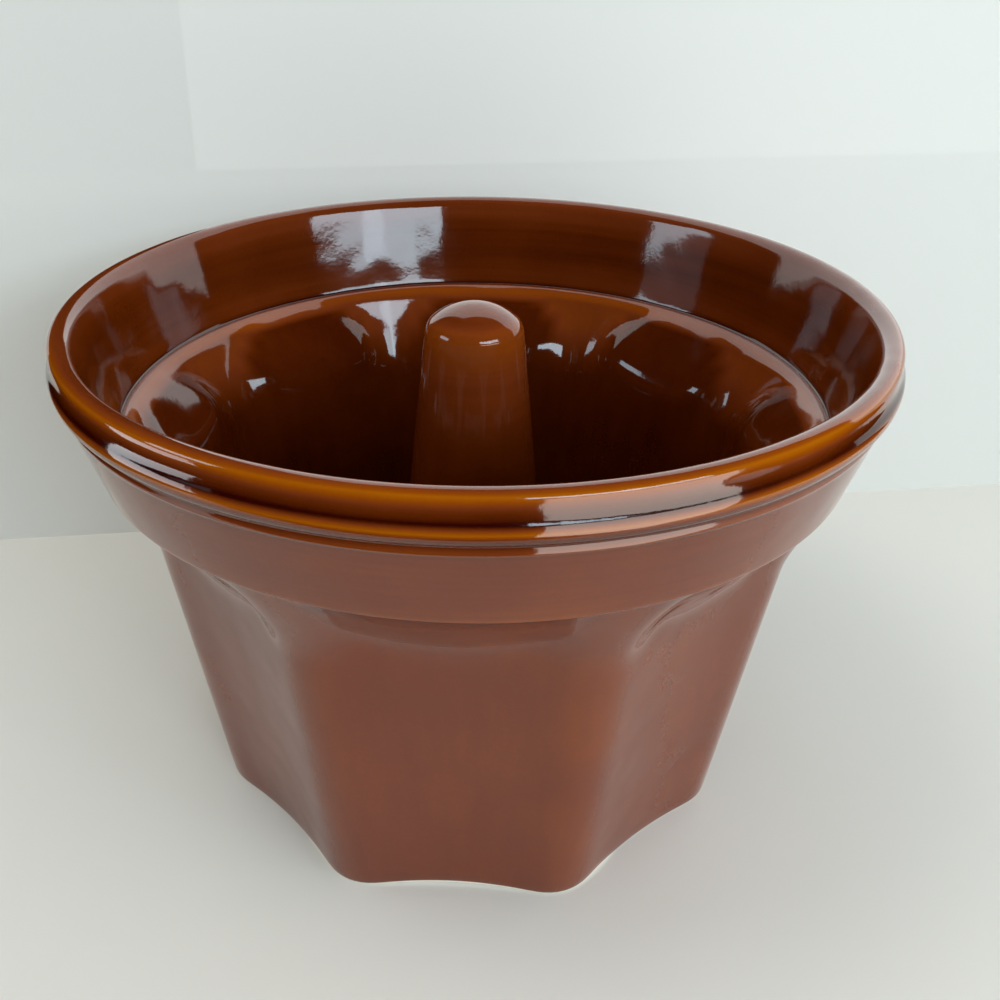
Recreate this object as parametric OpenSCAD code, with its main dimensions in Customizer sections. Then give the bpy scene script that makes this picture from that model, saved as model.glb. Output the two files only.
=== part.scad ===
// Glazed stoneware mould for monkey bread: a fluted ring mould with a closed post.
// One piece, cast hollow under the post. It stands on its flat foot, rim upwards.
// Origin at the middle of the foot, +Z up. The middle of one flute faces -Y.

/* [Overall] */
// Diameter over the rim's lower bead
rim_d = 222; // [195:1:250]
// Height from the foot to the top of the rim
height = 144.2; // [122:0.2:170]
// Thickness of the fired wall
wall = 7.5; // [6:0.1:9]

/* [Rim] */
// How far the upper bead stays behind the lower one
upper_bead_back = 1.1; // [0.4:0.1:1.8]
// Rounding of the upper bead
upper_bead_r = 2.3; // [1.8:0.1:2.8]
// Upright stretch on the upper bead's outer side
upper_bead_flat = 1.6; // [1.2:0.1:2]
// Rounding of the lower bead
lower_bead_r = 4.2; // [3.8:0.1:4.6]
// Depth of the lower bead's crest below the top of the rim
lower_bead_drop = 8.4; // [8:0.1:8.8]
// Rounding of the shallow groove between the beads
groove_r = 5; // [4:0.1:7]
// Height of the plain band under the lower bead
band_h = 1.8; // [1.4:0.1:2.4]
// How far the band stands proud of the collar
band_step = 0.4; // [0.2:0.1:0.8]
// Rounding of the lip on its inner side
lip_r = 3.6; // [3:0.1:4.2]

/* [Collar] */
// Height of the collar under the band
collar_h = 19.8; // [14:0.1:28]
// How far the collar stays behind the lower bead at its top
collar_back = 2.8; // [2.4:0.1:3.6]
// How far the collar widens on each side over its height
collar_lean = 6.1; // [3:0.1:8]
// Overhang of the collar's sharp lower edge over the flutes
collar_edge = 0.6; // [0.3:0.1:1.2]

/* [Flutes] */
// Number of flutes round the body
flutes = 8; // [6:1:10]
// Diameter over the ridges at the foot
foot_d = 155.4; // [140:0.2:170]
// Rounding of a ridge between two flutes
ridge_r = 14; // [11:0.5:17]
// Hollow of a flute below the straight line between its ridges
flute_sag = 2.2; // [1:0.1:4]
// How far the ridges lean out on each side from the foot to the collar
body_lean = 16.8; // [10:0.1:20]
// Slope of the shoulder that ends a flute, as run over rise
shoulder_slope = 0.95; // [0.8:0.01:1.1]
// Softness of the bend between a flute and its shoulder
shoulder_soft = 4; // [2:0.1:6]
// Height over which a ridge flares out to meet the collar
flare_h = 28; // [20:1:36]
// Half width of a flute at its top, as a share of the way to the ridge
arch_share = 0.7; // [0.6:0.01:0.78]
// Softness of the flute's arched top, as a share of the way to the ridge
arch_soft = 0.3; // [0.2:0.01:0.4]

/* [Inside] */
// Thickness of the floor
floor_t = 9; // [7:0.1:12]
// Rounding between the floor and the fluted wall
floor_r = 12; // [8:0.5:16]
// Height of the inner ledge above the collar's lower edge
ledge_rise = 6.5; // [5:0.1:9]
// Width of the flat part of the ledge
ledge_w = 1.4; // [0.8:0.1:2.5]
// Rounding of the ledge's edge above the lobes
ledge_r = 3; // [1.5:0.1:4]

/* [Post] */
// Diameter of the post's cone at the height of its top
post_d = 25.6; // [22:0.1:28]
// How far the post stops below the top of the rim
post_drop = 1.7; // [0:0.1:12]
// How far the post widens on each side from its top to the floor
post_lean = 13.2; // [8:0.1:18]
// Rounding of the post's top edge
post_r = 5.5; // [3:0.1:8]
// Rounding of the post's domed top
post_dome_r = 17.5; // [17:0.5:40]
// Rounding between the post and the floor
post_foot_r = 8; // [5:0.5:11]

/* [Underside] */
// Thickness of the post's wall over its hollow
post_wall = 6; // [5:0.1:7.5]
// Diameter of the shallow recess under the floor
recess_d = 116; // [90:1:124]
// Depth of the recess under the floor
recess_t = 2.4; // [1:0.1:3.5]
// Rounding of the foot's outer edge
foot_edge = 1; // [0.6:0.1:2]

/* [Hidden] */
glaze_colour = [0.42, 0.2, 0.12];
$fn = 128;

// Columns of the fluted walls, a whole even number for each flute
columns = flutes * 16;
half_flute = 180 / flutes;
// Straight steps of a short rounding in a turned outline
arc_steps = 8;
// A cut runs this far past the face that it opens
past = 1;

// Heights and radii of the main edges
rim_r = rim_d / 2;
collar_top_z = height - lower_bead_drop - lower_bead_r - band_h - band_step;
crease_z = collar_top_z - collar_h;
collar_top_r = rim_r - collar_back;
collar_low_r = collar_top_r - collar_lean;
crease_r = collar_low_r - collar_edge;
ledge_z = crease_z + ledge_rise;
collar_slope = collar_lean / collar_h;
ledge_out_r = collar_low_r + collar_slope * ledge_rise - wall;
ledge_in_r = ledge_out_r - ledge_w - ledge_r / 2;
ridge_foot_r = foot_d / 2;
post_z = height - post_drop;
post_top_r = post_d / 2;

function smooth(x) = let(t = max(0, min(1, x))) t * t * (3 - 2 * t);
function soft_max(a, b, k) = (a + b + sqrt((a - b) * (a - b) + k * k)) / 2;
function arc(r, z, radius, from, to, steps = arc_steps) =
    [for (i = [0:steps]) let(t = from + (to - from) * i / steps) [r + radius * cos(t), z + radius * sin(t)]];

// Angle from the middle of the nearest flute, without its sign
function flute_angle(a) = let(m = (a + half_flute) % (2 * half_flute) - half_flute) abs(m);

// Radius over the ridges at a height, while they are still straight
function ridge_line(z) = ridge_foot_r + body_lean * z / crease_z;

// Radius at the middle of a flute: the straight line between two ridges, less the sag
function flute_line(z) = (ridge_line(z) - ridge_r) * cos(half_flute) + ridge_r - flute_sag;

// Radius of the cross-section at an angle t from a flute's middle. Round ridges of radius round
// are joined by hollow arcs, and both are offset inwards by inset.
function fluted(t, z, inset) =
    let(
        a = ridge_line(z) - ridge_r,
        round = ridge_r - inset,
        low = flute_line(z) - inset,
        k = (a * a - (round - low) * (round - low)) / (2 * (a * cos(half_flute) + round - low)),
        hollow = k - low,
        reach = round / (hollow + round),
        tx = a * cos(half_flute) + (k - a * cos(half_flute)) * reach,
        ty = a * sin(half_flute) * (1 - reach),
        q = half_flute - t
    )
    t < atan2(ty, tx)
        ? k * cos(t) - sqrt(hollow * hollow - pow(k * sin(t), 2))
        : a * cos(q) + sqrt(round * round - pow(a * sin(q), 2));

// Share of the way from flute to ridge at angle t. It follows the arcs low down, and near the
// collar it turns into the steep sided arch that ends each flute.
function ridge_share(t, z, inset, top_z) =
    let(
        low = flute_line(z) - inset,
        arcs = (fluted(t, z, inset) - low) / (ridge_line(z) - inset - low),
        arch = smooth((t / half_flute - arch_share) / arch_soft + 0.5),
        w = smooth((z - top_z + flare_h) / flare_h * 1.4)
    )
    arcs * (1 - w) + arch * w;

// Radius of a fluted skin that opens to the radius top_r at the height top_z
function skin_r(t, z, inset, top_r, top_z) =
    let(
        u = max(0, (z - top_z + flare_h) / flare_h),
        flare = u * u * (2 - u),
        ridge = ridge_line(z) - inset + (top_r - ridge_line(top_z) + inset) * flare,
        cone = top_r - (top_z - z) * shoulder_slope,
        trough = min(top_r, soft_max(flute_line(z) - inset, cone, shoulder_soft))
    )
    trough + (max(ridge, trough) - trough) * ridge_share(t, z, inset, top_z);

function ring(z, inset, top_r, top_z, grow) =
    [for (i = [0:columns - 1])
        let(a = i * 360 / columns, r = skin_r(flute_angle(a), z, inset, top_r, top_z) + grow)
        [r * sin(a), -r * cos(a), z]];

// Heights of the rings between the foot and the top of a skin, closer where the flutes end
function skin_heights(low, high) =
    concat([for (i = [0:3]) low + (high - flare_h - low) * i / 4],
           [for (i = [0:10]) high - flare_h + flare_h * i / 10]);

// Closed solid through a list of rings, each with the same number of points
module loft(rings) {
    n = len(rings);
    m = columns;
    sides = [for (k = [0:n - 2], i = [0:m - 1])
        let(j = (i + 1) % m, a = k * m + i, b = k * m + j)
        each [[a, a + m, b + m], [a, b + m, b]]];
    bottom = [for (i = [0:m - 1]) [n * m, i, (i + 1) % m]];
    top = [for (i = [0:m - 1]) [n * m + 1, (n - 1) * m + (i + 1) % m, (n - 1) * m + i]];
    middles = [[0, 0, rings[0][0][2]], [0, 0, rings[n - 1][0][2]]];
    polyhedron(points = concat([for (r = rings) each r], middles), faces = concat(sides, bottom, top));
}

// Outer form of the fluted body, solid, up into the collar
module body_form() {
    edge = [for (i = [0:2]) let(t = i * 30) ring(foot_edge * (1 - cos(t)), 0, crease_r, crease_z,
                                                 -foot_edge * (1 - sin(t)))];
    heights = skin_heights(foot_edge, crease_z);
    loft(concat(edge,
                [for (z = heights) ring(z, 0, crease_r, crease_z, 0)],
                [ring(crease_z + collar_edge * 3, 0, crease_r, crease_z, 0)]));
}

// Room for the dough below the ledge, with its rounded floor
module dough_form() {
    floor_ring = [for (i = [0:4]) let(t = i * 18) ring(floor_t + floor_r * (1 - cos(t)), wall, ledge_in_r, ledge_z,
                                                      -floor_r * (1 - sin(t)))];
    heights = skin_heights(floor_t + floor_r, ledge_z);
    loft(concat(floor_ring,
                [for (z = heights)
                    ring(z, wall, ledge_in_r, ledge_z, pow(max(0, z - ledge_z + ledge_r), 2) / (2 * ledge_r))],
                [ring(ledge_z + past, wall, ledge_in_r, ledge_z, ledge_r / 2)]));
}

// Ring of the collar with its band, the two beads with a shallow groove between them, and the
// rounded lip. The groove's hollow arc touches both beads.
module collar_ring() {
    band_r = collar_top_r + band_step;
    lower = [rim_r - lower_bead_r, height - lower_bead_drop];
    upper = [rim_r - upper_bead_back - upper_bead_r, height - upper_bead_r - upper_bead_flat];
    to_lower = lower_bead_r + groove_r;
    to_upper = upper_bead_r + groove_r;
    apart = norm(upper - lower);
    up = (upper - lower) / apart;
    along = (to_lower * to_lower - to_upper * to_upper + apart * apart) / (2 * apart);
    groove = lower + along * up + sqrt(to_lower * to_lower - along * along) * [up[1], -up[0]];
    lower_end = atan2(groove[1] - lower[1], groove[0] - lower[0]);
    upper_start = atan2(groove[1] - upper[1], groove[0] - upper[0]);
    lower_start = -acos((band_r - lower[0]) / lower_bead_r);
    lean_in = atan(collar_slope);
    inner_low_r = ledge_in_r - ledge_r * 3;
    rotate_extrude()
        polygon(concat(
            [[collar_low_r, crease_z], [collar_top_r, collar_top_z],
             [band_r, collar_top_z + band_step]],
            arc(lower[0], lower[1], lower_bead_r, lower_start, lower_end),
            [for (i = [1:arc_steps - 1])
                let(t = 180 + lower_end + (upper_start - lower_end) * i / arc_steps)
                [groove[0] + groove_r * cos(t), groove[1] + groove_r * sin(t)]],
            arc(upper[0], upper[1], upper_bead_r, upper_start, 0),
            arc(upper[0], height - upper_bead_r, upper_bead_r, 0, 90),
            arc(upper[0], height - lip_r, lip_r, 90, 180 - lean_in),
            [[ledge_out_r, ledge_z], [inner_low_r, ledge_z], [inner_low_r, crease_z]]));
}

// Post with a domed top and a hollow foot rounding that meets the floor. The dome, the rounded
// edge and the cone run into each other without a kink.
module post_form() {
    lean = atan(post_lean / (post_z - floor_t));
    base_r = post_top_r + post_lean;
    edge_out = (post_top_r * cos(lean) + post_dome_r * sin(lean) - post_r) / (post_dome_r - post_r);
    dome_a = asin(edge_out) - lean;
    edge_r = (post_dome_r - post_r) * sin(dome_a);
    edge_z = post_z - post_dome_r + (post_dome_r - post_r) * cos(dome_a);
    rotate_extrude()
        polygon(concat(
            [[0, floor_t - past], [base_r + post_foot_r * 1.05, floor_t - past]],
            [for (i = [0:arc_steps])
                let(t = 262 - (82 + lean) * i / arc_steps)
                [base_r + post_foot_r + post_foot_r * cos(t), floor_t - 0.08 + post_foot_r * (1 + sin(t))]],
            arc(edge_r, edge_z, post_r, lean, 90 - dome_a),
            [for (i = [1:arc_steps])
                let(t = dome_a * (1 - i / arc_steps))
                [post_dome_r * sin(t), post_z - post_dome_r * (1 - cos(t))]]));
}

// Hollow inside the post, open under the mould
module post_hollow() {
    top_r = post_top_r - post_wall;
    low_r = top_r + post_lean * post_z / (post_z - floor_t);
    top_z = post_z - post_wall;
    rotate_extrude()
        polygon(concat(
            [[0, -past], [low_r, -past], [low_r, 0]],
            arc(0, top_z - top_r, top_r, atan(post_lean / post_z), 90)));
}

module mould() {
    color(glaze_colour)
        difference() {
            union() {
                difference() {
                    union() {
                        body_form();
                        collar_ring();
                    }
                    dough_form();
                }
                post_form();
            }
            post_hollow();
            translate([0, 0, -past])
                cylinder(d = recess_d, h = recess_t + past);
        }
}

mould();
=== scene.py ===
"""Monkey bread mould of glazed stoneware, standing on a pale table in front of a pale wall."""
import math

import bmesh
import bpy
from mathutils import Matrix, Vector


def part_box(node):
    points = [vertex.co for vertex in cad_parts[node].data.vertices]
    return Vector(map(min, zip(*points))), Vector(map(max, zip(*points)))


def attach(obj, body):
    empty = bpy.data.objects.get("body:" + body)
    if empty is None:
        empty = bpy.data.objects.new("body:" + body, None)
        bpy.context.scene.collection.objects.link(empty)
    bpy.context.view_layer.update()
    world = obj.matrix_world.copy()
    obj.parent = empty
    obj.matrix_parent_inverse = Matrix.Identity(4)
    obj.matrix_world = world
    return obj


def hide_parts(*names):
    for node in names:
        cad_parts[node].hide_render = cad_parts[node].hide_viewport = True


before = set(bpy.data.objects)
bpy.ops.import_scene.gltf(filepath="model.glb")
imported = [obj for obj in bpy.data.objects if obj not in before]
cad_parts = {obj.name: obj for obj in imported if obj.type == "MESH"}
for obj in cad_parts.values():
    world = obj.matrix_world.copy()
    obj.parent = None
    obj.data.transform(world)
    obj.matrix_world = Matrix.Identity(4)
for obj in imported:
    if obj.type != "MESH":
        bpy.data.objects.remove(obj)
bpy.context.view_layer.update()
MM = 0.001

# The mould's section, in millimetres. Its diameter and height come from the frame.
low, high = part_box("mould")
RIM_R = (high.x - low.x) / 2 / MM
HEIGHT = high.z / MM
WALL = 7.5

# Rim: two beads with a groove between them, a band below them and a rounded lip inside
UPPER_BEAD_BACK = 1.1
UPPER_BEAD_R = 2.3
UPPER_BEAD_FLAT = 1.6
LOWER_BEAD_R = 4.2
LOWER_BEAD_DROP = 8.4
GROOVE_R = 5.0
BAND_H = 1.8
BAND_STEP = 0.4
LIP_R = 3.6

# Smooth collar
COLLAR_H = 19.8
COLLAR_BACK = 2.8
COLLAR_LEAN = 6.1
COLLAR_EDGE = 0.6

# Fluted body. The arcs between the ridges turn into arches as the body flares to the collar.
FLUTES = 8
RIDGE_FOOT_R = 77.7
RIDGE_R = 14.0
FLUTE_SAG = 2.2
BODY_LEAN = 16.8
SHOULDER_SLOPE = 0.95
SHOULDER_SOFT = 4.0
FLARE_H = 28.0
ARCH_SHARE = 0.7
ARCH_SOFT = 0.3
ARCH_HASTE = 1.4
INNER_ARCH_H = 17.0

# Floor, ledge and post
FLOOR_T = 9.0
FLOOR_R = 12.0
LEDGE_RISE = 6.5
LEDGE_W = 1.4
LEDGE_R = 3.0
POST_R = 12.8
POST_DROP = 1.7
POST_LEAN = 13.2
POST_EDGE = 5.5
POST_DOME_R = 17.5
POST_FOOT_R = 8.0
POST_WALL = 6.0

# Foot
RECESS_R = 58.0
RECESS_T = 2.4
FOOT_EDGE = 1.0

# Main heights and radii, which follow from the sizes above
COLLAR_TOP_Z = HEIGHT - LOWER_BEAD_DROP - LOWER_BEAD_R - BAND_H - BAND_STEP
CREASE_Z = COLLAR_TOP_Z - COLLAR_H
COLLAR_TOP_R = RIM_R - COLLAR_BACK
COLLAR_LOW_R = COLLAR_TOP_R - COLLAR_LEAN
CREASE_R = COLLAR_LOW_R - COLLAR_EDGE
COLLAR_SLOPE = COLLAR_LEAN / COLLAR_H
LEDGE_Z = CREASE_Z + LEDGE_RISE
LEDGE_OUT_R = COLLAR_LOW_R + COLLAR_SLOPE * LEDGE_RISE - WALL
LEDGE_IN_R = LEDGE_OUT_R - LEDGE_W - LEDGE_R / 2
POST_Z = HEIGHT - POST_DROP
HOLLOW_TOP_R = POST_R - POST_WALL
HOLLOW_LOW_R = HOLLOW_TOP_R + POST_LEAN * POST_Z / (POST_Z - FLOOR_T)

# Columns of the mesh, and the angle from a flute's middle to its ridge
COLUMNS_PER_FLUTE = 16
COLUMNS = FLUTES * COLUMNS_PER_FLUTE
HALF_FLUTE = math.radians(180 / FLUTES)


def smooth(x):
    """0 to 1 with soft ends."""
    x = max(0.0, min(1.0, x))
    return x * x * (3 - 2 * x)


def soft_max(a, b, softness):
    """The greater of two values, rounded over where they are close."""
    return (a + b + math.hypot(a - b, softness)) / 2


def ridge_line(z):
    """Radius over the ridges while they are straight."""
    return RIDGE_FOOT_R + BODY_LEAN * z / CREASE_Z


def flute_line(z):
    """Radius at the middle of a flute."""
    return (ridge_line(z) - RIDGE_R) * math.cos(HALF_FLUTE) + RIDGE_R - FLUTE_SAG


def fluted(t, z, inset):
    """Radius of round ridges joined by hollow arcs, at an angle t from a flute's middle."""
    a = ridge_line(z) - RIDGE_R
    crown = RIDGE_R - inset
    trough = flute_line(z) - inset
    along = a * math.cos(HALF_FLUTE)
    k = (a * a - (crown - trough) ** 2) / (2 * (along + crown - trough))
    hollow = k - trough
    reach = crown / (hollow + crown)
    if t < math.atan2(a * math.sin(HALF_FLUTE) * (1 - reach), along + (k - along) * reach):
        return k * math.cos(t) - math.sqrt(hollow ** 2 - (k * math.sin(t)) ** 2)
    q = HALF_FLUTE - t
    return a * math.cos(q) + math.sqrt(crown ** 2 - (a * math.sin(q)) ** 2)


def arch_edge(z, inset, top_z):
    """Where a flute's side stands near the top, as a share of the half flute: straight up on the
    outside and along a round arch on the inside."""
    if inset == 0:
        return ARCH_SHARE
    down = max(0.0, min(1.0, (top_z - z) / INNER_ARCH_H))
    return ARCH_SHARE * math.sqrt(1 - (1 - down) ** 2)


def ridge_share(t, z, inset, top_z):
    """Share of the way from flute to ridge: the arcs low down, a steep sided arch near the top."""
    trough = flute_line(z) - inset
    arcs = (fluted(t, z, inset) - trough) / (ridge_line(z) - inset - trough)
    arch = smooth((t / HALF_FLUTE - arch_edge(z, inset, top_z)) / ARCH_SOFT + 0.5)
    arched = smooth((z - top_z + FLARE_H) / FLARE_H * ARCH_HASTE)
    return arcs * (1 - arched) + arch * arched


def skin(z, inset, top_r, top_z, grow=0.0):
    """Outline of a fluted skin that opens to top_r at top_z, as a function of the angle."""
    u = max(0.0, (z - top_z + FLARE_H) / FLARE_H)
    flare = u * u * (2 - u)
    ridge = ridge_line(z) - inset + (top_r - ridge_line(top_z) + inset) * flare
    cone = top_r - (top_z - z) * SHOULDER_SLOPE
    trough = min(top_r, soft_max(flute_line(z) - inset, cone, SHOULDER_SOFT))
    ridge = max(ridge, trough)
    return lambda t: trough + (ridge - trough) * ridge_share(t, z, inset, top_z) + grow


def arc(r, z, radius, start, end, steps, glaze_start=0.0, glaze_end=0.0):
    """Rings along a rounding in the section. Angles are in degrees from outwards to upwards."""
    rings = []
    for i in range(steps + 1):
        share = i / steps
        a = math.radians(start + (end - start) * share)
        glaze = glaze_start + (glaze_end - glaze_start) * share
        rings.append((z + radius * math.sin(a), r + radius * math.cos(a), glaze))
    return rings


def between(start, end, steps):
    """Heights strictly inside a stretch."""
    return [start + (end - start) * i / steps for i in range(1, steps)]


# The mould as a list of rings from the post's hollow, under the foot, up the outside, over the rim,
# down the inside and up the post. Each ring is a height, an outline and the glaze: 1 is thin
# over an edge, 0 is even, -1 is pooled. The same number also paints light and shade on the
# glaze: lower for painted shade under the beads, in creases and deep inside, higher for painted
# light on the upper bead's top. Outline and glaze are numbers where the ring is the same
# all round, and functions of the angle where it isn't.

def hollow_rings():
    """The post's hollow, from its round top down to the recess."""
    lean = math.atan(POST_LEAN / POST_Z)
    top_z = POST_Z - POST_WALL - HOLLOW_TOP_R
    rings = arc(0, top_z, HOLLOW_TOP_R, 87, math.degrees(lean), 7)
    start_z, start_r = top_z + HOLLOW_TOP_R * math.sin(lean), HOLLOW_TOP_R * math.cos(lean)
    for share in (0.33, 0.66, 0.99):
        z = start_z + (RECESS_T - start_z) * share
        rings.append((z, start_r + (HOLLOW_LOW_R - start_r) * (start_z - z) / start_z, 0))
    return rings


def underside_rings():
    """The shallow recess and the foot's inner edge."""
    return [(RECESS_T, HOLLOW_LOW_R + 0.3, 0),
            (RECESS_T, HOLLOW_LOW_R + 8, 0),
            (RECESS_T, RECESS_R - 8, 0),
            (RECESS_T, RECESS_R - 0.4, 0),
            (RECESS_T - 0.4, RECESS_R, 0),
            (0.4, RECESS_R, 0),
            (0, RECESS_R + 0.4, 0)]


def body_glaze_and_shade(z):
    """Thinner over the ridges, and darker where a flute's shoulder meets the collar: pooled glaze and
    painted shade under the collar's overhang.
    """
    def glaze(t):
        on_ridge = smooth((t / HALF_FLUTE - 0.62) * 3)
        # Painted shade under the collar's overhang, partly pooled glaze.
        pooled_and_shaded = smooth((z - CREASE_Z + 6) / 6) * (1 - on_ridge)
        return 0.08 * on_ridge - 0.5 * pooled_and_shaded
    return glaze


def body_rings():
    """The foot's rounding and the fluted body up to the collar."""
    rings = [(0, skin(0, 0, CREASE_R, CREASE_Z, -FOOT_EDGE - 0.6), 0)]
    for turn in (0, 30, 60, 90):
        a = math.radians(turn)
        z = FOOT_EDGE * (1 - math.cos(a))
        rings.append((z, skin(z, 0, CREASE_R, CREASE_Z, -FOOT_EDGE * (1 - math.sin(a))), body_glaze_and_shade(z)))
    for z in between(FOOT_EDGE, CREASE_Z - FLARE_H, 5):
        rings.append((z, skin(z, 0, CREASE_R, CREASE_Z), body_glaze_and_shade(z)))
    for i in range(18):
        z = CREASE_Z - FLARE_H + (FLARE_H - 0.3) * i / 17
        rings.append((z, skin(z, 0, CREASE_R, CREASE_Z), body_glaze_and_shade(z)))
    return rings


def collar_rings():
    """The crease over the flutes, the smooth collar and the band under the beads."""
    band_r = COLLAR_TOP_R + BAND_STEP
    # Painted shade: darker in the crease under the collar.
    rings = [(CREASE_Z, CREASE_R + 0.15, -0.6),
             (CREASE_Z + 0.05, COLLAR_LOW_R - 0.2, 0.1),
             (CREASE_Z + 0.35, COLLAR_LOW_R + 0.05, 0.3),
             (CREASE_Z + 1.2, COLLAR_LOW_R + 1.2 * COLLAR_SLOPE, 0.1)]
    for z in between(CREASE_Z + 1.2, COLLAR_TOP_Z - 0.5, 5):
        rings.append((z, COLLAR_LOW_R + (z - CREASE_Z) * COLLAR_SLOPE, 0))
    # Painted shade: darker at the collar's top under the band, and at the band's top under the lower
    # bead.
    rings += [(COLLAR_TOP_Z - 0.5, COLLAR_TOP_R - 0.5 * COLLAR_SLOPE, -0.1),
              (COLLAR_TOP_Z, COLLAR_TOP_R, -0.3),
              (COLLAR_TOP_Z + BAND_STEP, band_r, 0.2),
              (COLLAR_TOP_Z + BAND_STEP + 0.5, band_r, 0.2),
              (HEIGHT - LOWER_BEAD_DROP - LOWER_BEAD_R, band_r, -0.3)]
    return rings


def bead_rings():
    """Lower bead, shallow groove, upper bead and the lip's rounding towards the inside."""
    lower = Vector((RIM_R - LOWER_BEAD_R, HEIGHT - LOWER_BEAD_DROP))
    upper = Vector((RIM_R - UPPER_BEAD_BACK - UPPER_BEAD_R, HEIGHT - UPPER_BEAD_R - UPPER_BEAD_FLAT))
    to_lower, to_upper = LOWER_BEAD_R + GROOVE_R, UPPER_BEAD_R + GROOVE_R
    apart = (upper - lower).length
    up = (upper - lower) / apart
    along = (to_lower ** 2 - to_upper ** 2 + apart ** 2) / (2 * apart)
    groove = lower + along * up + math.sqrt(to_lower ** 2 - along ** 2) * Vector((up.y, -up.x))
    lower_end = math.degrees(math.atan2(groove.y - lower.y, groove.x - lower.x))
    upper_start = math.degrees(math.atan2(groove.y - upper.y, groove.x - upper.x))
    lean = math.degrees(math.atan(COLLAR_SLOPE))
    lower_start = -math.degrees(math.acos((COLLAR_TOP_R + BAND_STEP - lower.x) / LOWER_BEAD_R))
    # Painted shade: darker under the lower bead, where it hangs over the band.
    rings = arc(*lower, LOWER_BEAD_R, lower_start, -28, 3, -0.7, -0.5)
    rings += arc(*lower, LOWER_BEAD_R, -14, 0, 1, 0.0, 0.9)
    rings += arc(*lower, LOWER_BEAD_R, 10, lower_end - 4, 2, 0.4, -0.8)
    rings += arc(*groove, GROOVE_R, 180 + lower_end, 180 + upper_start, 4, -1.0, -0.3)
    rings.append((upper.y + UPPER_BEAD_FLAT / 2, upper.x + UPPER_BEAD_R, 0.1))
    # Thin glaze and painted light: lighter on the upper bead's top, which faces up.
    rings += arc(upper.x, HEIGHT - UPPER_BEAD_R, UPPER_BEAD_R, 0, 34, 2, 0.4, 0.9)
    # Painted shade: darker towards the lip and over its rounding into the inside.
    rings += arc(upper.x, HEIGHT - UPPER_BEAD_R, UPPER_BEAD_R, 51, 85, 2, 0.4, -0.1)
    rings += arc(upper.x, HEIGHT - LIP_R, LIP_R, 100, 180 - lean, 5, -0.2, -0.2)
    return rings


def inner_collar_rings():
    """The collar's inside, down to the ledge."""
    lean = math.atan(COLLAR_SLOPE)
    top_z = HEIGHT - LIP_R + LIP_R * math.sin(lean)
    top_r = RIM_R - UPPER_BEAD_BACK - UPPER_BEAD_R - LIP_R * math.cos(lean)
    rings = []
    # Painted shade: the inside of the collar is darker than the outside, and darkest at the ledge.
    for share, glaze in ((0.08, -0.3), (0.3, -0.6), (0.55, -0.6), (0.8, -0.5), (0.95, -0.4)):
        z = top_z + (LEDGE_Z - top_z) * share
        rings.append((z, top_r + (LEDGE_OUT_R - top_r) * share, glaze))
    rings.append((LEDGE_Z + 0.25, LEDGE_OUT_R + 0.05, -0.9))
    rings.append((LEDGE_Z, LEDGE_OUT_R - 0.25, -0.9))
    return rings


def lobe_glaze_and_shade(z):
    """Amber under the ledge between two lobes, dark on the lobes, and darker lower down: painted shade
    deeper inside the mould.
    """
    def glaze(t):
        share = ridge_share(t, z, WALL, LEDGE_Z)
        near_top = smooth((z - LEDGE_Z + 26) / 18)
        # Painted shade: darker the deeper inside.
        painted_shade_deep = (LEDGE_Z - z) / (LEDGE_Z - FLOOR_T)
        return -0.65 - 0.25 * painted_shade_deep + near_top * 0.75 * smooth(share * 1.6 - 0.5)
    return glaze


def lobe_rings():
    """The ledge's rounding, the lobes inside and their rounding to the floor."""
    def at(z, glaze):
        grow = max(0.0, z - LEDGE_Z + LEDGE_R) ** 2 / (2 * LEDGE_R)
        return (z, skin(z, WALL, LEDGE_IN_R, LEDGE_Z, grow), glaze)
    rings = [(LEDGE_Z - 0.02, LEDGE_IN_R + LEDGE_R / 2 + 0.6, -0.3), at(LEDGE_Z - 0.1, 0.1)]
    rings += [at(LEDGE_Z - 1, 0.35), at(LEDGE_Z - 2, 0.3), at(LEDGE_Z - LEDGE_R, 0.1)]
    for z in between(LEDGE_Z - LEDGE_R, LEDGE_Z - FLARE_H, 15):
        rings.append(at(z, lobe_glaze_and_shade(z)))
    for z in between(LEDGE_Z - FLARE_H + 1, FLOOR_T + FLOOR_R, 5):
        rings.append(at(z, lobe_glaze_and_shade(z)))
    # Painted shade: darkest on the rounding down to the floor.
    for turn in (90, 68, 45, 22, 0):
        a = math.radians(turn)
        z = FLOOR_T + FLOOR_R * (1 - math.cos(a))
        rings.append((z, skin(z, WALL, LEDGE_IN_R, LEDGE_Z, -FLOOR_R * (1 - math.sin(a))), -0.8))
    return rings


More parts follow.
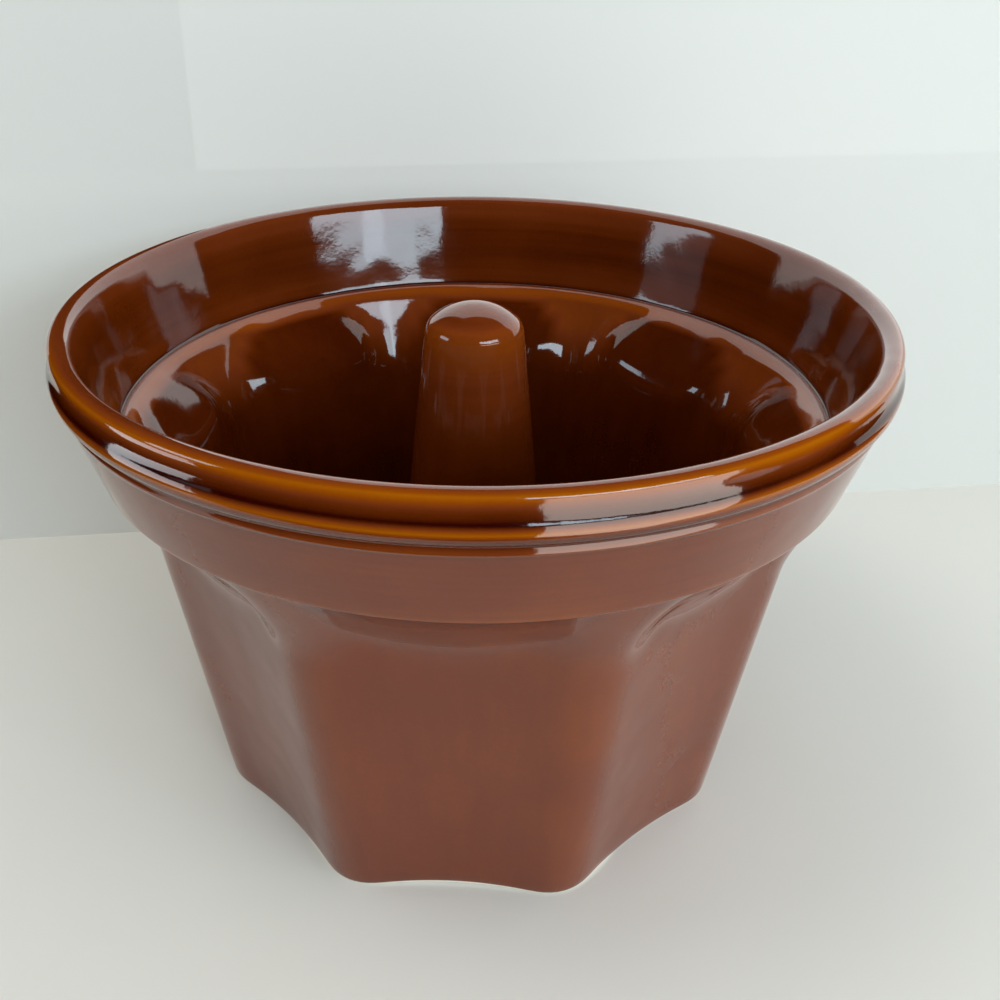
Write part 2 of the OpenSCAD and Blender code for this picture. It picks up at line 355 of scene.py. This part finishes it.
def post_rings():
    """The post's round foot on the floor, its side and its domed top."""
    lean = math.atan(POST_LEAN / (POST_Z - FLOOR_T))
    base_r = POST_R + POST_LEAN
    # Painted shade: darkest where the post stands on the floor, lighter up its side, a little darker on
    # its dome.
    rings = [(FLOOR_T, base_r + POST_FOOT_R + 5, -0.8)]
    rings += arc(base_r + POST_FOOT_R, FLOOR_T + POST_FOOT_R, POST_FOOT_R, 268, 180 - math.degrees(lean),
                 4, -0.8, -0.6)
    foot_z = FLOOR_T + POST_FOOT_R * (1 + math.sin(lean))
    foot_r = base_r + POST_FOOT_R * (1 - math.cos(lean))
    inner = POST_DOME_R - POST_EDGE
    edge_out = (POST_R * math.cos(lean) + POST_DOME_R * math.sin(lean) - POST_EDGE) / inner
    dome_a = math.asin(edge_out) - lean
    edge_r = inner * math.sin(dome_a)
    edge_z = POST_Z - POST_DOME_R + inner * math.cos(dome_a)
    side_r, side_z = edge_r + POST_EDGE * math.cos(lean), edge_z + POST_EDGE * math.sin(lean)
    for share, glaze in ((0.2, -0.65), (0.4, -0.6), (0.6, -0.5), (0.8, -0.4), (0.95, 0.0)):
        rings.append((foot_z + (side_z - foot_z) * share, foot_r + (side_r - foot_r) * share, glaze))
    rings += arc(edge_r, edge_z, POST_EDGE, math.degrees(lean), 90 - math.degrees(dome_a), 7, 0.3, 0.1)
    for share in (0.75, 0.5, 0.25, 0.08):
        a = dome_a * share
        rings.append((POST_Z - POST_DOME_R * (1 - math.cos(a)), POST_DOME_R * math.sin(a), -0.2))
    return rings


def at_angle(value, angle):
    """A ring's outline or glaze at an angle."""
    return value(angle) if callable(value) else value


def next_ring(mould, ring, ring_before):
    """Extrudes the newest row upwards and pulls its points to the ring's outline."""
    z, outline, glaze = ring
    z_before, outline_before, _ = ring_before
    bpy.ops.mesh.extrude_region_move(TRANSFORM_OT_translate={"value": (0, 0, (z - z_before) * MM)})
    form = bmesh.from_edit_mesh(mould.data)
    # The glaze number stored here also carries painted light and shade.
    glaze_and_shade_layer = form.verts.layers.float["glaze"]
    row = [vertex for vertex in form.verts if vertex.select]
    angles = [math.atan2(abs(vertex.co.x), -vertex.co.y) for vertex in row]
    for vertex, angle in zip(row, angles):
        vertex[glaze_and_shade_layer] = at_angle(glaze, angle)
    if not callable(outline) and not callable(outline_before):
        growth = outline / outline_before
        bpy.ops.transform.resize(value=(growth, growth, 1), center_override=(0, 0, z * MM))
        return
    for vertex, angle in zip(row, angles):
        for other in row:
            other.select_set(other is vertex)
        growth = at_angle(outline, angle) / at_angle(outline_before, angle)
        bpy.ops.transform.resize(value=(growth, growth, 1), center_override=(0, 0, z * MM))
    for vertex in row:
        vertex.select_set(True)
    form.select_flush(True)


def model_half_flute():
    """Strip of wall from the middle of the front flute to its ridge, grown ring by ring."""
    rings = (hollow_rings() + underside_rings() + body_rings() + collar_rings() + bead_rings()
             + inner_collar_rings() + lobe_rings() + post_rings())
    z, outline, glaze = rings[0]
    bpy.ops.object.select_all(action="DESELECT")
    bpy.ops.mesh.primitive_circle_add(vertices=COLUMNS, radius=outline * MM, location=(0, 0, z * MM))
    mould = bpy.context.object
    mould.name = "glazed_mould"
    bpy.ops.object.transform_apply(location=True, rotation=True, scale=True)
    bpy.ops.object.mode_set(mode="EDIT")
    bpy.ops.mesh.select_mode(type="VERT")
    form = bmesh.from_edit_mesh(mould.data)
    form.verts.layers.float.new("glaze")
    half_column = math.pi / COLUMNS
    for vertex in form.verts:
        angle = math.atan2(vertex.co.x, -vertex.co.y)
        vertex.select_set(not -half_column < angle < HALF_FLUTE + half_column)
    form.select_flush(True)
    bmesh.update_edit_mesh(mould.data)
    bpy.ops.mesh.delete(type="VERT")
    bpy.ops.mesh.select_all(action="SELECT")
    for ring_before, ring in zip(rings, rings[1:]):
        next_ring(mould, ring, ring_before)
    bpy.ops.object.mode_set(mode="OBJECT")
    return mould


def model_mould():
    """The half flute mirrored, set eight times round the post and closed into one wall."""
    mould = model_half_flute()
    flute = mould.modifiers.new("whole_flute", "MIRROR")
    flute.use_axis = (True, False, False)
    flute.merge_threshold = 1e-6
    bpy.ops.object.modifier_apply(modifier=flute.name)
    bpy.ops.object.mode_set(mode="EDIT")
    bpy.ops.mesh.select_all(action="SELECT")
    bpy.ops.mesh.spin(steps=FLUTES - 1, dupli=True, angle=math.tau * (FLUTES - 1) / FLUTES,
                      center=(0, 0, 0), axis=(0, 0, 1))
    bpy.ops.mesh.select_all(action="SELECT")
    bpy.ops.mesh.remove_doubles(threshold=1e-6)
    bpy.ops.mesh.select_all(action="SELECT")
    bpy.ops.mesh.fill_holes(sides=COLUMNS)
    bpy.ops.mesh.select_all(action="SELECT")
    bpy.ops.mesh.normals_make_consistent(inside=False)
    bpy.ops.object.mode_set(mode="OBJECT")
    softening = mould.modifiers.new("softening", "SUBSURF")
    softening.levels = 1
    softening.render_levels = 1
    bpy.ops.object.modifier_apply(modifier=softening.name)
    bpy.ops.object.shade_smooth()
    return mould


def noise(nodes, links, place, scale, detail):
    """Noise over the object. A scale is one number, or three for streaks along an axis."""
    texture = nodes.new("ShaderNodeTexNoise")
    texture.inputs["Detail"].default_value = detail
    if isinstance(scale, tuple):
        stretched = nodes.new("ShaderNodeMapping")
        stretched.inputs["Scale"].default_value = scale
        links.new(place, stretched.inputs["Vector"])
        links.new(stretched.outputs["Vector"], texture.inputs["Vector"])
        texture.inputs["Scale"].default_value = 1
    else:
        links.new(place, texture.inputs["Vector"])
        texture.inputs["Scale"].default_value = scale
    return texture.outputs["Fac"]


def math_node(nodes, links, operation, *values):
    """Sum, product or the like of sockets and numbers."""
    node = nodes.new("ShaderNodeMath")
    node.operation = operation
    for socket, value in zip(node.inputs, values):
        if isinstance(value, (int, float)):
            socket.default_value = value
        else:
            links.new(value, socket)
    return node.outputs[0]


def in_range(nodes, links, value, start, end):
    """0 at the start of a range and 1 at its end, with soft ends."""
    node = nodes.new("ShaderNodeMapRange")
    node.interpolation_type = "SMOOTHSTEP"
    node.inputs["From Min"].default_value = start
    node.inputs["From Max"].default_value = end
    links.new(value, node.inputs["Value"])
    return node.outputs["Result"]


def glaze_level(nodes, links, place, height):
    """Modelled level of the glaze, from 1 for thin to -1 for pooled, with the rings' painted light and
    shade in it, drifting with soft clouds, a fine speckle and streaks: turning marks round the collar,
    and runs down the body."""
    # Painted light and shade come in with the modelled level.
    modelled_glaze_and_shade = nodes.new("ShaderNodeAttribute")
    modelled_glaze_and_shade.attribute_name = "glaze"
    clouds = noise(nodes, links, place, 30, 3)
    speckle = noise(nodes, links, place, 900, 2)
    bands = noise(nodes, links, place, (9, 9, 420), 3)
    runs = noise(nodes, links, place, (260, 260, 14), 3)
    on_collar = in_range(nodes, links, height, CREASE_Z * MM, (CREASE_Z + 3) * MM)
    off_collar = math_node(nodes, links, "SUBTRACT", 1, on_collar)
    runs_below = math_node(nodes, links, "MULTIPLY", runs, off_collar)
    streaks = math_node(nodes, links, "MULTIPLY_ADD", bands, on_collar, runs_below)
    even_streaks = math_node(nodes, links, "SUBTRACT", streaks, 0.5)
    streak_depth = math_node(nodes, links, "MULTIPLY_ADD", on_collar, 0.22, 0.16)
    drift = math_node(nodes, links, "MULTIPLY_ADD", even_streaks, streak_depth, -0.285)
    drift = math_node(nodes, links, "MULTIPLY_ADD", speckle, 0.12, drift)
    drift = math_node(nodes, links, "MULTIPLY_ADD", clouds, 0.45, drift)
    return math_node(nodes, links, "ADD", modelled_glaze_and_shade.outputs["Fac"], drift)


# Colours of the glaze from pooled, through even at 0.5, to thin at 1, which also show the painted shade
# and light
POOLED_GLAZE = (0.025, 0.0012, 0.0005, 1)
DARK_GLAZE = (0.095, 0.0145, 0.0006, 1)
EVEN_GLAZE = (0.165, 0.03, 0.006, 1)
LIGHT_GLAZE = (0.27, 0.055, 0.001, 1)
AMBER_GLAZE = (0.36, 0.1, 0.001, 1)
# Pale clay, lightened beyond the clay's own colour as painted light for the bright band at the foot.
FIRED_CLAY_AND_GLOW = (0.95, 0.9, 0.78, 1)


def glaze_colour(nodes, links, level):
    """Near black where the glaze pools and where shade is painted, red-brown where it is even and amber
    where it is thin and where light is painted.
    """
    colours = nodes.new("ShaderNodeValToRGB")
    ramp = colours.color_ramp
    ramp.elements[0].position = 0.0
    ramp.elements[0].color = POOLED_GLAZE
    ramp.elements[1].position = 1.0
    ramp.elements[1].color = AMBER_GLAZE
    for position, colour in ((0.25, DARK_GLAZE), (0.5, EVEN_GLAZE), (0.75, LIGHT_GLAZE)):
        stop = ramp.elements.new(position)
        stop.color = colour
    links.new(math_node(nodes, links, "MULTIPLY_ADD", level, 0.5, 0.5), colours.inputs["Fac"])
    return colours.outputs["Color"]


def bare_foot_and_painted_glow(nodes, links, parts):
    """1 on the foot's bare band: a thin strip of clay with the glaze wiped off all round, and a taller
    band under the front flute that is painted light, a bright band of reflected light at the foot.
    """
    across = math_node(nodes, links, "MULTIPLY", parts.outputs["X"], parts.outputs["X"])
    radius_squared = math_node(nodes, links, "MULTIPLY_ADD", parts.outputs["Y"], parts.outputs["Y"],
                               across)
    radius = math_node(nodes, links, "SQRT", radius_squared)
    # Painted light: the band grows taller only under the front flute, a bright band of reflected light
    # at the foot.
    painted_in_front = in_range(nodes, links, parts.outputs["Y"], -52 * MM, -64 * MM)
    wiped_and_glow_height = math_node(nodes, links, "MULTIPLY_ADD", radius, -0.12, 9.8 * MM)
    wiped_and_glow_in_front = math_node(nodes, links, "MULTIPLY", wiped_and_glow_height, painted_in_front)
    clay_and_glow_top = math_node(nodes, links, "MAXIMUM", wiped_and_glow_in_front, 0.3 * MM)
    under_glaze = math_node(nodes, links, "SUBTRACT", clay_and_glow_top, parts.outputs["Z"])
    clay_and_glow_share = in_range(nodes, links, under_glaze, -0.1 * MM, 0.2 * MM)
    outside = in_range(nodes, links, radius, (RECESS_R - 0.2) * MM, (RECESS_R + 0.2) * MM)
    return math_node(nodes, links, "MULTIPLY", clay_and_glow_share, outside)


def bump(nodes, links, height, depth):
    """Relief of a pattern, as deep as given."""
    node = nodes.new("ShaderNodeBump")
    node.inputs["Strength"].default_value = 1
    node.inputs["Distance"].default_value = depth
    links.new(height, node.inputs["Height"])
    return node


def glaze_material():
    """Glossy red-brown glaze over pale clay, a little wavy, with the bare clay at the foot, which is
    lightened and taller under the front flute as painted light.
    """
    material = bpy.data.materials.new("brown_glaze")
    material.use_nodes = True
    nodes, links = material.node_tree.nodes, material.node_tree.links
    shader = nodes["Principled BSDF"]
    place = nodes.new("ShaderNodeTexCoord").outputs["Object"]
    parts = nodes.new("ShaderNodeSeparateXYZ")
    links.new(place, parts.inputs["Vector"])

    # The bare foot also carries painted light: a band of reflected light under the front flute, in a
    # lightened clay colour.
    bare_clay_and_glow = bare_foot_and_painted_glow(nodes, links, parts)
    surface = nodes.new("ShaderNodeMix")
    surface.data_type = "RGBA"
    _, _, _, _, _, _, glazed, clay_and_glow_colour = surface.inputs[:8]
    clay_and_glow_colour.default_value = FIRED_CLAY_AND_GLOW
    level = glaze_level(nodes, links, place, parts.outputs["Z"])
    links.new(glaze_colour(nodes, links, level), glazed)
    links.new(bare_clay_and_glow, surface.inputs["Factor"])
    links.new(surface.outputs[2], shader.inputs["Base Color"])
    links.new(math_node(nodes, links, "MULTIPLY_ADD", bare_clay_and_glow, 0.6, 0.07), shader.inputs["Roughness"])
    shader.inputs["IOR"].default_value = 1.55

    waves = bump(nodes, links, noise(nodes, links, place, 62, 1), 0.3 * MM)
    peel = bump(nodes, links, noise(nodes, links, place, 700, 2), 0.012 * MM)
    links.new(waves.outputs["Normal"], peel.inputs["Normal"])
    links.new(peel.outputs["Normal"], shader.inputs["Normal"])
    return material


def plain_material(name, colour, roughness, painted_glow=0.0):
    """Plain finish, open to a camera behind it, with a painted glow in it if given: white emission that
    paints light on the surface, with no lamp there.
    """
    material = bpy.data.materials.new(name)
    material.use_nodes = True
    nodes, links = material.node_tree.nodes, material.node_tree.links
    shader = nodes["Principled BSDF"]
    shader.inputs["Base Color"].default_value = colour
    shader.inputs["Roughness"].default_value = roughness
    # Painted glow: emission that brightens the surface as if light fell on it.
    shader.inputs["Emission Color"].default_value = (1, 1, 1, 1)
    shader.inputs["Emission Strength"].default_value = painted_glow
    behind = nodes.new("ShaderNodeNewGeometry").outputs["Backfacing"]
    from_camera = nodes.new("ShaderNodeLightPath").outputs["Is Camera Ray"]
    clear = nodes.new("ShaderNodeBsdfTransparent")
    one_sided = nodes.new("ShaderNodeMixShader")
    links.new(math_node(nodes, links, "MULTIPLY", behind, from_camera), one_sided.inputs["Fac"])
    links.new(shader.outputs["BSDF"], one_sided.inputs[1])
    links.new(clear.outputs["BSDF"], one_sided.inputs[2])
    links.new(one_sided.outputs["Shader"], nodes["Material Output"].inputs["Surface"])
    return material


# Table, wall and light. The wall stands close behind the mould, a little turned. The mould
# mirrors only the near part of both.
WALL_AWAY = 132 * MM
WALL_TURN = math.radians(10.4)
STAGE_SIZE = 3.0
MIRRORED_GAP = 0.1 * MM
PAINTED_GLOW_FROM = 0.15
TABLE_COLOUR = (0.78, 0.775, 0.735, 1)
WALL_COLOUR = (0.74, 0.75, 0.72, 1)


def stage_plane(name, material, across, up, place, only_mirrored):
    """Rectangle between two distances across and two distances up, from a place."""
    bpy.ops.object.select_all(action="DESELECT")
    centre = place @ Vector((sum(across) / 2, sum(up) / 2, MIRRORED_GAP if only_mirrored else 0))
    bpy.ops.mesh.primitive_plane_add(size=1, location=centre, rotation=place.to_euler())
    plane = bpy.context.object
    plane.name = name
    plane.scale = (across[1] - across[0], up[1] - up[0], 1)
    bpy.ops.object.transform_apply(location=True, rotation=True, scale=True)
    plane.data.materials.append(material)
    plane.visible_glossy = only_mirrored
    plane.visible_camera = not only_mirrored
    plane.visible_diffuse = not only_mirrored
    plane.visible_shadow = not only_mirrored


def table_and_wall():
    half = STAGE_SIZE / 2
    pale_table = plain_material("pale_table", TABLE_COLOUR, 0.3)
    pale_wall = plain_material("pale_wall", WALL_COLOUR, 0.5)
    painted_glow_wall = plain_material("painted_glow_wall", WALL_COLOUR, 0.5, painted_glow=0.9)
    level = Matrix.Identity(4)
    turn = Matrix.Rotation(WALL_TURN, 4, "Z")
    upright = turn @ Matrix.Translation((0, WALL_AWAY, 0)) @ Matrix.Rotation(math.pi / 2, 4, "X")
    stage_plane("table", pale_table, (-half, half), (-half, half), level, False)
    stage_plane("wall", pale_wall, (-half, half), (0, STAGE_SIZE), upright, False)
    stage_plane("near_table", pale_table, (-0.3, 0.36), (-0.178, 0.2), level, True)
    stage_plane("near_wall_low", pale_wall, (-0.22, half), (0, PAINTED_GLOW_FROM), upright, True)
    # The upper part of the mirrored wall glows: painted light, not a lamp.
    stage_plane("near_wall_high", painted_glow_wall, (-0.085, half), (PAINTED_GLOW_FROM, 0.48), upright, True)


# Light of the room, stronger to the right, and of its windows and lamps
ROOM_COLOUR = (0.86, 0.85, 0.81, 1)
ROOM_STRENGTH = 0.72
ROOM_SIDEWAYS = 0.22
WINDOW_AWAY = 1.6
DOOR_AWAY = 0.41
DAYLIGHT = (0.71, 0.885, 1.0)
PALE_LIGHT = (0.92, 0.96, 1.0)
WARM_LIGHT = (1.0, 0.96, 0.89)


def pane(name, width, height, place, outwards, radiance, colour):
    """Rectangle of light, with its back outwards."""
    lamp = bpy.data.lights.new(name, "AREA")
    lamp.shape = "RECTANGLE"
    lamp.size = width
    lamp.size_y = height
    lamp.energy = radiance * math.pi * width * height
    lamp.color = colour
    holder = bpy.data.objects.new(name, lamp)
    bpy.context.scene.collection.objects.link(holder)
    holder.location = place
    holder.rotation_euler = outwards.to_track_quat("Z", "Y").to_euler()
    holder.visible_camera = False
    return holder


def window(name, azimuths, elevations, radiance, colour=DAYLIGHT, away=WINDOW_AWAY):
    """Upright pane that looks at the mould, between two azimuths and two elevations in degrees,
    seen from the middle of the rim. Azimuth turns from -Y towards +X."""
    azimuth = math.radians(sum(azimuths) / 2)
    outwards = Vector((math.sin(azimuth), -math.cos(azimuth), 0))
    bottom, top = (away * math.tan(math.radians(elevation)) for elevation in elevations)
    width = 2 * away * math.tan(math.radians(azimuths[1] - azimuths[0]) / 2)
    place = outwards * away + Vector((0, 0, HEIGHT * MM + (bottom + top) / 2))
    return pane(name, width, top - bottom, place, outwards, radiance, colour)


def light_room():
    """Even light from all round, which the mould doesn't mirror."""
    world = bpy.data.worlds.new("room")
    bpy.context.scene.world = world
    world.use_nodes = True
    world.cycles_visibility.glossy = False
    nodes, links = world.node_tree.nodes, world.node_tree.links
    background = nodes["Background"]
    background.inputs["Color"].default_value = ROOM_COLOUR
    parts = nodes.new("ShaderNodeSeparateXYZ")
    links.new(nodes.new("ShaderNodeTexCoord").outputs["Generated"], parts.inputs["Vector"])
    lighter_right = math_node(nodes, links, "MULTIPLY_ADD", parts.outputs["X"], ROOM_SIDEWAYS,
                              ROOM_STRENGTH)
    links.new(lighter_right, background.inputs["Strength"])


def set_windows():
    """Windows, doors and a ceiling light. Some only show as reflections, and some only give light."""
    window("front_window_left", (15, 24), (16.8, 27), 9)
    window("front_window_middle", (24, 37), (14.8, 27), 9)
    window("front_window_streak", (37, 42), (14.8, 27), 11)
    window("front_window_right", (42, 61), (15.2, 27), 8)
    front_door = window("front_door", (17, 61), (-40, 9), 4.5, WARM_LIGHT, DOOR_AWAY)
    right_window = window("right_window", (58, 99), (-2, 24), 2.2, PALE_LIGHT)
    left_window_top = window("left_window_top", (-82, -60), (13.3, 25), 5)
    left_window_blind = window("left_window_blind", (-82, -60), (7.5, 13.3), 0.4)
    left_door = window("left_door", (-92, -66), (-18, 3), 4, PALE_LIGHT)
    over_left = Vector((-0.5, -0.1, 1.2))
    ceiling_light = pane("ceiling_light", 0.6, 0.6, over_left, Vector((0, 0, 1)), 4, WARM_LIGHT)
    for only_mirrored in (front_door, left_window_top, left_window_blind, left_door):
        only_mirrored.visible_diffuse = False
    for only_lights in (right_window, ceiling_light):
        only_lights.visible_glossy = False


# Camera at the photograph's place and angle
CAMERA_AT = (0.0155, -0.2861, 0.2421)
CAMERA_HEADING = 3.69
CAMERA_TILT = 28.34
CAMERA_ROLL = 0.18
LENS = 39.96
SENSOR = 36
SHIFT = (0.0368, -0.0187)


def place_camera():
    camera = bpy.data.cameras.new("camera")
    camera.lens = LENS
    camera.sensor_width = SENSOR
    camera.shift_x, camera.shift_y = SHIFT
    camera.clip_start = 0.01
    holder = bpy.data.objects.new("camera", camera)
    bpy.context.scene.collection.objects.link(holder)
    turn = (Matrix.Rotation(math.radians(CAMERA_HEADING), 4, "Z")
            @ Matrix.Rotation(math.radians(90 - CAMERA_TILT), 4, "X")
            @ Matrix.Rotation(math.radians(CAMERA_ROLL), 4, "Z"))
    holder.matrix_world = Matrix.Translation(CAMERA_AT) @ turn
    bpy.context.scene.camera = holder


place_camera()
glazed_mould = model_mould()
glazed_mould.data.materials.append(glaze_material())
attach(glazed_mould, "root")
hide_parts("mould")
table_and_wall()
light_room()
set_windows()
bpy.context.scene.view_settings.view_transform = "Standard"
